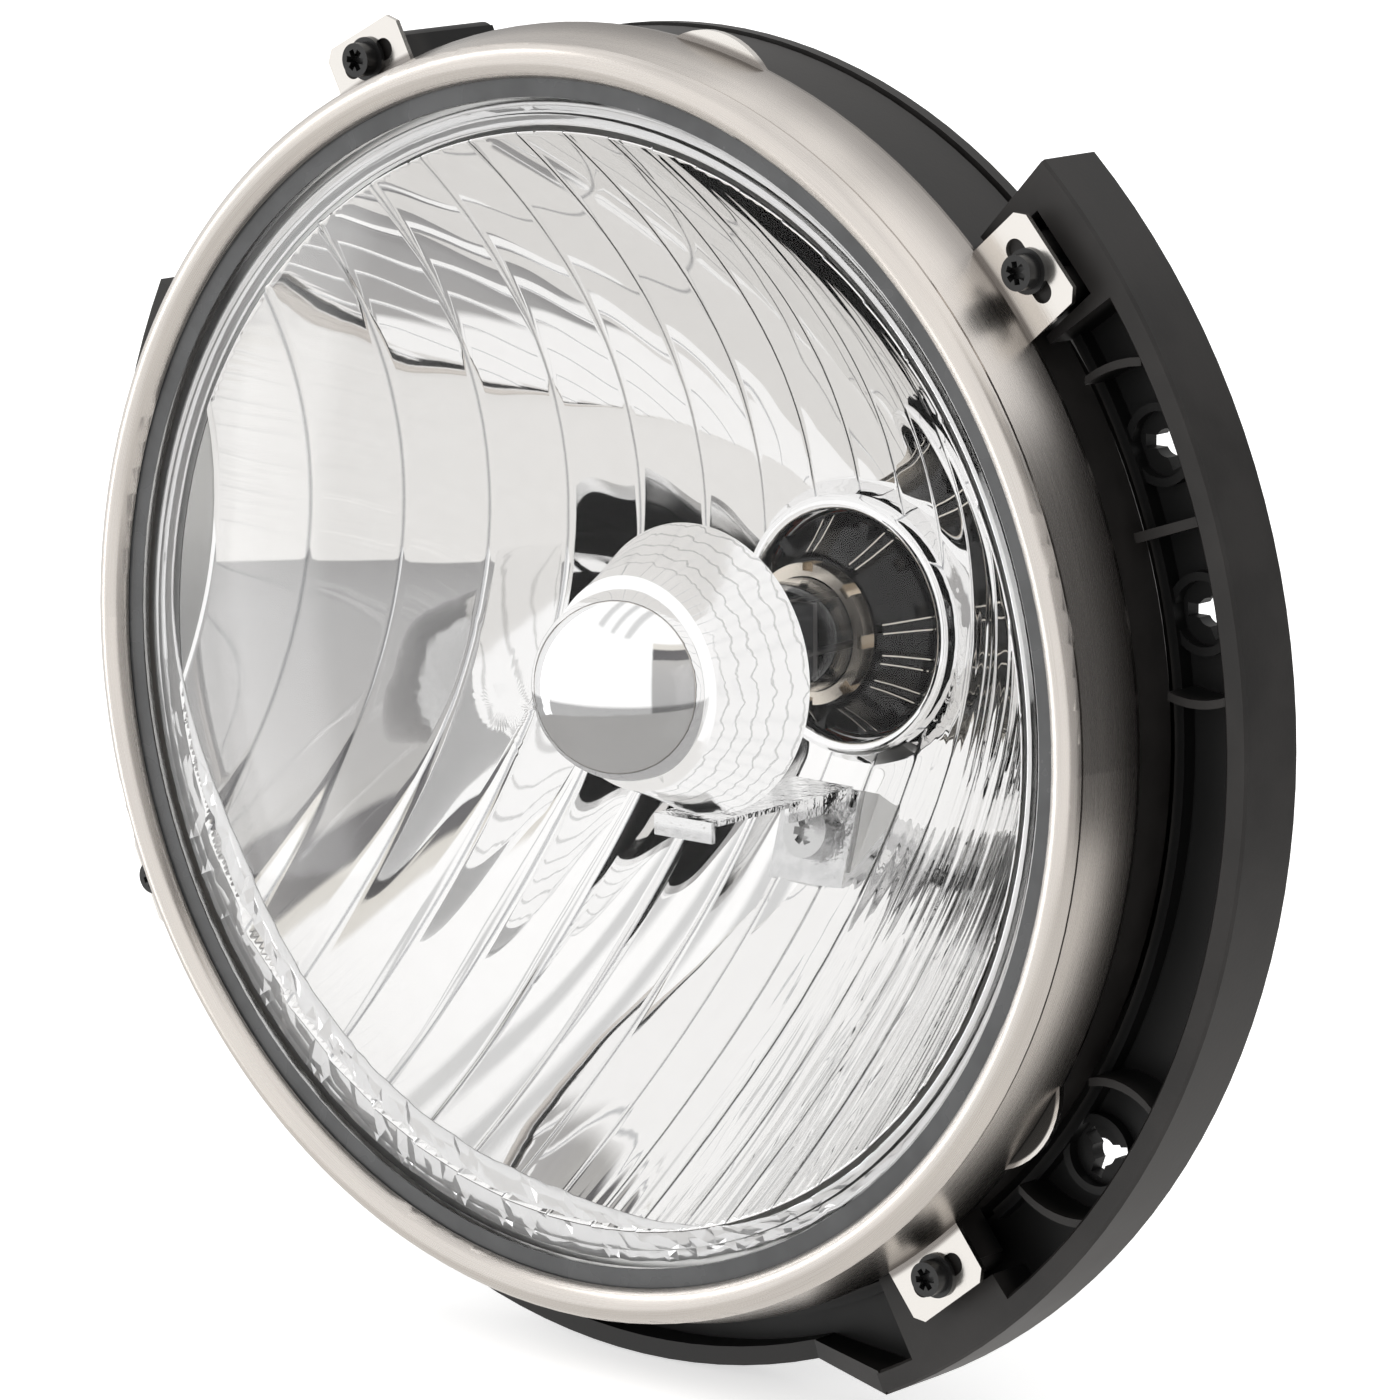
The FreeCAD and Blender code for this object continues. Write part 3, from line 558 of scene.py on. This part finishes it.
def hub_depth(r):
    """Depth of the hub's cone at a radius."""
    front = HUB_FRONT + 0.9
    back = HUB_BACK - 0.4
    share = (r - HUB_INNER) / (HUB_OUTER - HUB_INNER)
    return front + (back - front) * share ** 0.8


def turned_path(path, turn):
    """The same path turned about the lamp axis."""
    c, s = math.cos(turn), math.sin(turn)
    return [(x * c - z * s, y - 0.1, x * s + z * c) for x, y, z in path]


def make_hub(material, painted_highlight_material):
    """Moulded cone between the bulb's metal collar and the plug, with raised fins whose edges carry light
    metal strips as painted highlights.
    """
    cone = [(10.75, HUB_BACK), (10.75, HUB_FRONT), (11.1, HUB_FRONT + 0.1)]
    cone += [(r, hub_depth(r)) for r in (11.3, 12.4, 13.6, 15.0, 16.4)]
    cone += [(16.6, HUB_BACK)]
    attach(turned("bulb_hub", cone, material), "bulb")
    for index, deg in enumerate(FIN_ANGLES):
        a = math.radians(deg)
        path = [(r * math.cos(a), hub_depth(r) + 0.2, r * math.sin(a)) for r in FIN_RADII]
        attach(strip_solid("bulb_fin_%d" % index, path, FIN_WIDTH, FIN_HEIGHT, material), "bulb")
        # painted highlight: light metal strips along both edges of each black fin stand in for its edge
        # highlights
        for side, turn in (("a", -FIN_EDGE_TURN), ("b", FIN_EDGE_TURN)):
            name = "bulb_fin_%d_%s" % (index, side)
            edge = turned_path(path, turn)
            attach(strip_solid(name, edge, FIN_EDGE_WIDTH, FIN_HEIGHT + 0.15, painted_highlight_material), "bulb")


# ---------------------------------------------------------------- finishes
def paint(material, *names):
    for name in names:
        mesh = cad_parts[name].data
        mesh.materials.clear()
        mesh.materials.append(material)


def scaled(tone, factor):
    return [c * factor for c in tone[:3]] + [1.0]


def moulded(name, base, rough, grain=0.35, size=1.4):
    """Moulded plastic or rubber with a fine grain and slight unevenness."""
    material, g, shader = principled(name)
    x, y, z = g.place()
    where = g.vector(x, y, z)
    cloud = g.noise(where, 0.09, 3.0)
    tone = g.mix(g.span(cloud, 0.3, 0.7), scaled(base, 0.82), scaled(base, 1.18))
    g.plug(shader.inputs["Base Color"], tone)
    g.plug(shader.inputs["Roughness"], g.math("MULTIPLY_ADD", cloud, 0.18, rough - 0.09))
    g.plug(shader.inputs["Normal"], g.bump(g.noise(where, size, 2.0), grain, 0.05))
    return material


def bracket_black():
    """Satin black, with painted shade making it darker inside the open pockets and behind the ring."""
    material, g, shader = principled("black_plastic")
    radius, turn, depth = g.polar()
    x, y, z = g.place()
    where = g.vector(x, y, z)
    # painted shade: this mask finds the open pockets behind the ring, where shade falls
    below = (OPENING_Y / MM) + 15.0
    rim_wall = g.span(radius, 105.6, 106.8)
    inside = g.math("MULTIPLY", g.span(depth, below, below + 3.5), g.math("SUBTRACT", 1.0, rim_wall))
    inside = g.math("MULTIPLY", inside, g.span(radius, 94.2, 95.2))
    cloud = g.noise(where, 0.09, 3.0)
    tone = g.mix(g.span(cloud, 0.3, 0.7), (0.014, 0.0128, 0.012, 1), (0.023, 0.021, 0.0198, 1))
    # the pockets get a near-black painted shade
    g.plug(shader.inputs["Base Color"], g.mix(inside, tone, (0.0035, 0.0035, 0.0035, 1)))
    g.plug(shader.inputs["Roughness"], g.math("MULTIPLY_ADD", cloud, 0.16, 0.38))
    g.plug(shader.inputs["Specular IOR Level"], 0.4)
    g.plug(shader.inputs["Normal"], g.bump(g.noise(where, 1.5, 2.0), 0.3, 0.04))
    return material


def worked_metal(name, base, rough):
    """Machined or drawn metal with a soft uneven grain."""
    material, g, shader = principled(name, Metallic=1.0)
    x, y, z = g.place()
    where = g.vector(*(g.math("MULTIPLY", axis, 0.25) for axis in (x, y, z)))
    grainy = g.noise(where, 2.0, 4.0, 0.6)
    g.plug(shader.inputs["Base Color"], g.mix(grainy, scaled(base, 0.9), base))
    g.plug(shader.inputs["Roughness"], g.math("MULTIPLY_ADD", grainy, 0.12, rough - 0.06))
    g.plug(shader.inputs["Normal"], g.bump(grainy, 0.12, 0.04))
    return material


LIP_ANGLES = (167.0, 257.0, 325.5)
LIP_CENTRE = 84.2
LIP_RADIUS = 13.0
SKIRT_END = 10.6
CREASE = 2.2


def stainless():
    """Brushed along the ring, brighter plated look on the bent tabs, painted shade darkening the skirt
    towards its rear edge and inside the three lips.
    """
    material, g, shader = principled("brushed_stainless", Metallic=1.0)
    radius, turn, depth = g.polar()
    along = g.math("MULTIPLY", turn, 3.0)
    close = g.vector(along, g.math("MULTIPLY", depth, 3.2), g.math("MULTIPLY", radius, 3.2))
    loose = g.vector(along, g.math("MULTIPLY", depth, 0.3), g.math("MULTIPLY", radius, 0.3))
    fine = g.noise(close, 1.6, 4.0, 0.65)
    wide = g.noise(loose, 1.0, 2.0)
    on_tab = g.span(radius, 95.2, 96.0)
    # painted shade: near-black inside the three bent lips, where their faces are in shade
    painted_lip_shade = 0.0
    x, y, z = g.place()
    for deg in LIP_ANGLES:
        dx = g.math("SUBTRACT", x, LIP_CENTRE * math.cos(math.radians(deg)))
        dz = g.math("SUBTRACT", z, LIP_CENTRE * math.sin(math.radians(deg)))
        gap = g.math("SQRT", g.math("ADD", g.math("MULTIPLY", dx, dx), g.math("MULTIPLY", dz, dz)))
        near = g.span(gap, LIP_RADIUS - 0.75, LIP_RADIUS - 0.45, 1.0, 0.0)
        painted_lip_shade = g.math("MAXIMUM", painted_lip_shade, near)
    painted_lip_shade = g.math("MULTIPLY", painted_lip_shade, g.span(radius, 94.1, 94.3))
    skirt_edge = OPENING_Y / MM + SKIRT_END
    painted_lip_shade = g.math("MULTIPLY", painted_lip_shade, g.span(depth, skirt_edge - 1.3, skirt_edge - 1.1))
    steel = g.mix(fine, (0.56, 0.52, 0.485, 1), (0.74, 0.70, 0.66, 1))
    steel = g.mix(g.span(wide, 0.35, 0.7), steel, (0.70, 0.655, 0.61, 1))
    # painted shade: the skirt darkens towards its rear edge, standing in for the dark reflection it shows
    # there
    painted_rear_shade = g.span(depth, OPENING_Y / MM + CREASE, skirt_edge, 0.0, 0.75)
    steel = g.mix(painted_rear_shade, steel, (0.19, 0.175, 0.165, 1))
    steel = g.mix(on_tab, steel, (0.82, 0.79, 0.75, 1))
    g.plug(shader.inputs["Base Color"], g.mix(painted_lip_shade, steel, (0.05, 0.048, 0.046, 1)))
    brushed = g.math("MULTIPLY_ADD", fine, 0.14, 0.2)
    polish = g.math("MULTIPLY_ADD", on_tab, -0.35, 1.0)
    g.plug(shader.inputs["Roughness"], g.math("MULTIPLY", brushed, polish))
    g.plug(shader.inputs["Normal"], g.bump(fine, 0.10, 0.05))
    return material


def mirror_coat(name, wave=0.0, metallic=1.0):
    """Vacuum-metallised coat with a slight haze."""
    material, g, shader = principled(name, Metallic=metallic)
    x, y, z = g.place()
    where = g.vector(x, y, z)
    haze = g.noise(where, 0.35, 4.0, 0.6)
    g.plug(shader.inputs["Base Color"], g.mix(haze, (0.89, 0.89, 0.895, 1), (0.93, 0.93, 0.93, 1)))
    g.plug(shader.inputs["Roughness"], g.math("MULTIPLY_ADD", haze, 0.03, 0.004))
    if wave:
        g.plug(shader.inputs["Normal"], g.bump(g.noise(where, 0.22, 2.0), 0.5, wave))
    return material


def painted_step_shade(g, x, z):
    """1 on the narrow step between two flutes of the mirror, where a painted shade line goes."""
    bow = g.math("MULTIPLY", g.math("MULTIPLY", z, z), -FLUTE_BOW)
    across = g.math("MULTIPLY_ADD", z, -FLUTE_LEAN, g.math("ADD", x, bow))
    share = g.math("FRACT", g.math("MULTIPLY_ADD", across, 1.0 / FLUTE_PITCH, -FLUTE_SHIFT / FLUTE_PITCH))
    return g.window(share, 0.945, 0.985, 0.018)


def fluted_coat():
    """Bright coat, with a painted shade line on the step between two flutes."""
    material, g, shader = principled("mirror_coat", Metallic=1.0)
    x, y, z = g.place()
    where = g.vector(x, y, z)
    haze = g.noise(where, 0.35, 4.0, 0.6)
    coat = g.mix(haze, (0.89, 0.885, 0.88, 1), (0.93, 0.928, 0.925, 1))
    # painted shade: the steps between flutes are drawn as darker grey lines
    g.plug(shader.inputs["Base Color"], g.mix(painted_step_shade(g, x, z), coat, (0.52, 0.525, 0.535, 1)))
    g.plug(shader.inputs["Roughness"], g.math("MULTIPLY_ADD", haze, 0.03, 0.004))
    return material


NOSE_EDGE = 15.4
NOSE_FLATTEN = 0.47
NOSE_PAINTED_REFLECTION_Z = -1.9


def leaned_normal(g, amount):
    """Surface normal leaned forward along the lamp axis by an amount, which flattens reflections."""
    facing = g.new("ShaderNodeVectorMath", operation="ADD")
    g.links.new(g.new("ShaderNodeNewGeometry").outputs["Normal"], facing.inputs[0])
    g.links.new(g.vector(0.0, g.math("MULTIPLY", amount, -NOSE_FLATTEN), 0.0), facing.inputs[1])
    unit = g.new("ShaderNodeVectorMath", operation="NORMALIZE")
    g.links.new(facing.outputs[0], unit.inputs[0])
    return unit.outputs[0]


def shield_chrome():
    """Bright chrome with faint uneven rings from the turning tool, a flatter nose, and a painted reflection
    of the table darkening the nose's lower half.
    """
    material, g, shader = principled("shield_chrome", Metallic=1.0)
    radius, turn, depth = g.polar()
    height = g.place()[2]
    edge = OPENING_Y / MM + NOSE_EDGE
    on_nose = g.span(depth, edge, edge + 0.2, 1.0, 0.0)
    around = g.vector(g.math("MULTIPLY", turn, 4.0), g.math("MULTIPLY", depth, 0.1), 0.0)
    wobble = g.noise(around, 1.0, 3.0)
    rings = g.math("SINE", g.math("MULTIPLY_ADD", depth, 2.6, g.math("MULTIPLY", wobble, 11.0)))
    on_cone = g.span(radius, 15.0, 16.2)
    line = g.math("MULTIPLY", g.span(rings, 0.84, 1.0), on_cone)
    # painted reflection: the nose is darker below a fixed height, standing in for the shadowed table it
    # reflects
    dull_and_painted_reflection = g.math("MULTIPLY", on_nose, g.span(height, NOSE_PAINTED_REFLECTION_Z - 0.4, NOSE_PAINTED_REFLECTION_Z + 0.2, 1.0, 0.0))
    tone = g.mix(line, grey(0.96), grey(0.68))
    g.plug(shader.inputs["Base Color"], g.mix(dull_and_painted_reflection, tone, grey(0.42)))
    g.plug(shader.inputs["Roughness"], g.span(on_cone, 0.0, 1.0, 0.02, 0.14))
    ridges = g.bump(g.math("MULTIPLY", rings, on_cone), 0.2, 0.02)
    g.plug(ridges.node.inputs["Normal"], leaned_normal(g, on_nose))
    g.plug(shader.inputs["Normal"], ridges)
    return material


def strap_finish():
    """Crumpled chrome on the leg, duller pressed steel on the foot."""
    material, g, shader = principled("strap_steel", Metallic=1.0)
    x, y, z = g.place()
    where = g.vector(x, y, z)
    foot = g.span(z, -25.2, -24.4, 1.0, 0.0)
    crumple = g.noise(where, 0.55, 2.0)
    haze = g.noise(where, 0.3, 3.0)
    dull_and_painted_reflection = g.mix(haze, (0.45, 0.45, 0.455, 1), (0.8, 0.8, 0.8, 1))
    g.plug(shader.inputs["Base Color"], g.mix(foot, grey(0.8), dull_and_painted_reflection))
    g.plug(shader.inputs["Roughness"], g.span(foot, 0.0, 1.0, 0.04, 0.2))
    g.plug(shader.inputs["Normal"], g.bump(crumple, 0.6, 0.5))
    return material


def gloss_black():
    """Moulded black with a polished face."""
    material, g, shader = principled("bulb_plastic", Specular_IOR_Level=0.3)
    x, y, z = g.place()
    cloud = g.noise(g.vector(x, y, z), 0.25, 2.0)
    g.plug(shader.inputs["Base Color"], g.mix(cloud, (0.003, 0.003, 0.003, 1), (0.010, 0.009, 0.009, 1)))
    g.plug(shader.inputs["Roughness"], g.math("MULTIPLY_ADD", cloud, 0.1, 0.08))
    return material


def clear(name, tint, ior, wave):
    """Glass or clear plastic with a slight moulding wave."""
    material, g, shader = principled(name, Base_Color=tint, Roughness=0.0, Transmission_Weight=1.0, IOR=ior)
    x, y, z = g.place()
    g.plug(shader.inputs["Normal"], g.bump(g.noise(g.vector(x, y, z), 0.12, 2.0), 0.4, wave))
    return material


def all_finishes():
    paint(bracket_black(), "mounting_bracket", "lamp_bucket")
    paint(moulded("black_plastic_smooth", grey(0.016), 0.38, 0.12, 0.8), "adjuster_housing")
    plug_black = gloss_black()
    paint(plug_black, "bulb_base")
    # the fin edge strips are a painted highlight in light metal
    make_hub(plug_black, worked_metal("fin_edge_painted_highlight", (0.7, 0.66, 0.6, 1), 0.25))
    paint(moulded("grey_plastic", grey(0.10), 0.42, 0.15), "adjuster_retainer", "adjuster_knob")
    paint(moulded("white_nylon", grey(0.66, 0.03), 0.4, 0.12),
          "adjuster_socket", "pivot_bushing_left", "pivot_bushing_right")
    paint(moulded("gasket_rubber", grey(0.075, -0.02), 0.26, 0.12), "lens_gasket", "vent_cap")
    paint(moulded("seal_rubber", (0.32, 0.05, 0.02, 1), 0.5, 0.2), "bulb_seal")
    paint(moulded("black_screw", grey(0.012), 0.3, 0.2, 2.0), "ring_screws")
    paint(stainless(), "retaining_ring")
    paint(worked_metal("zinc_screw", (0.62, 0.61, 0.58, 1), 0.3),
          "housing_screws", "adjuster_rod", "pivot_pin_left", "pivot_pin_right")
    paint(worked_metal("reflector_back", (0.72, 0.72, 0.71, 1), 0.34), "reflector")
    paint(mirror_coat("collar_chrome", 0.15), "reflector_collar")
    paint(shield_chrome(), "bulb_shield")
    paint(strap_finish(), "shield_strap")
    paint(worked_metal("shield_screw_steel", (0.62, 0.62, 0.62, 1), 0.2), "shield_screw")
    paint(worked_metal("bulb_metal", (0.74, 0.68, 0.6, 1), 0.2), "bulb_collar")
    paint(worked_metal("filament_wire", (0.3, 0.3, 0.31, 1), 0.35),
          "filament_low", "filament_high", "filament_frame")
    paint(worked_metal("terminal_brass", (0.78, 0.62, 0.32, 1), 0.3),
          "bulb_terminal_left", "bulb_terminal_middle", "bulb_terminal_right")
    paint(clear("clear_lens", grey(0.985), 1.21, 0.02), "lens")
    paint(clear("bulb_glass", grey(0.8), 1.46, 0.05), "bulb_glass")
    make_mirror(fluted_coat())
    make_band(mirror_coat("rim_silver", metallic=0.45))


make_camera()
make_world()
make_floor()
all_finishes()
bpy.context.scene.view_settings.view_transform = "Standard"
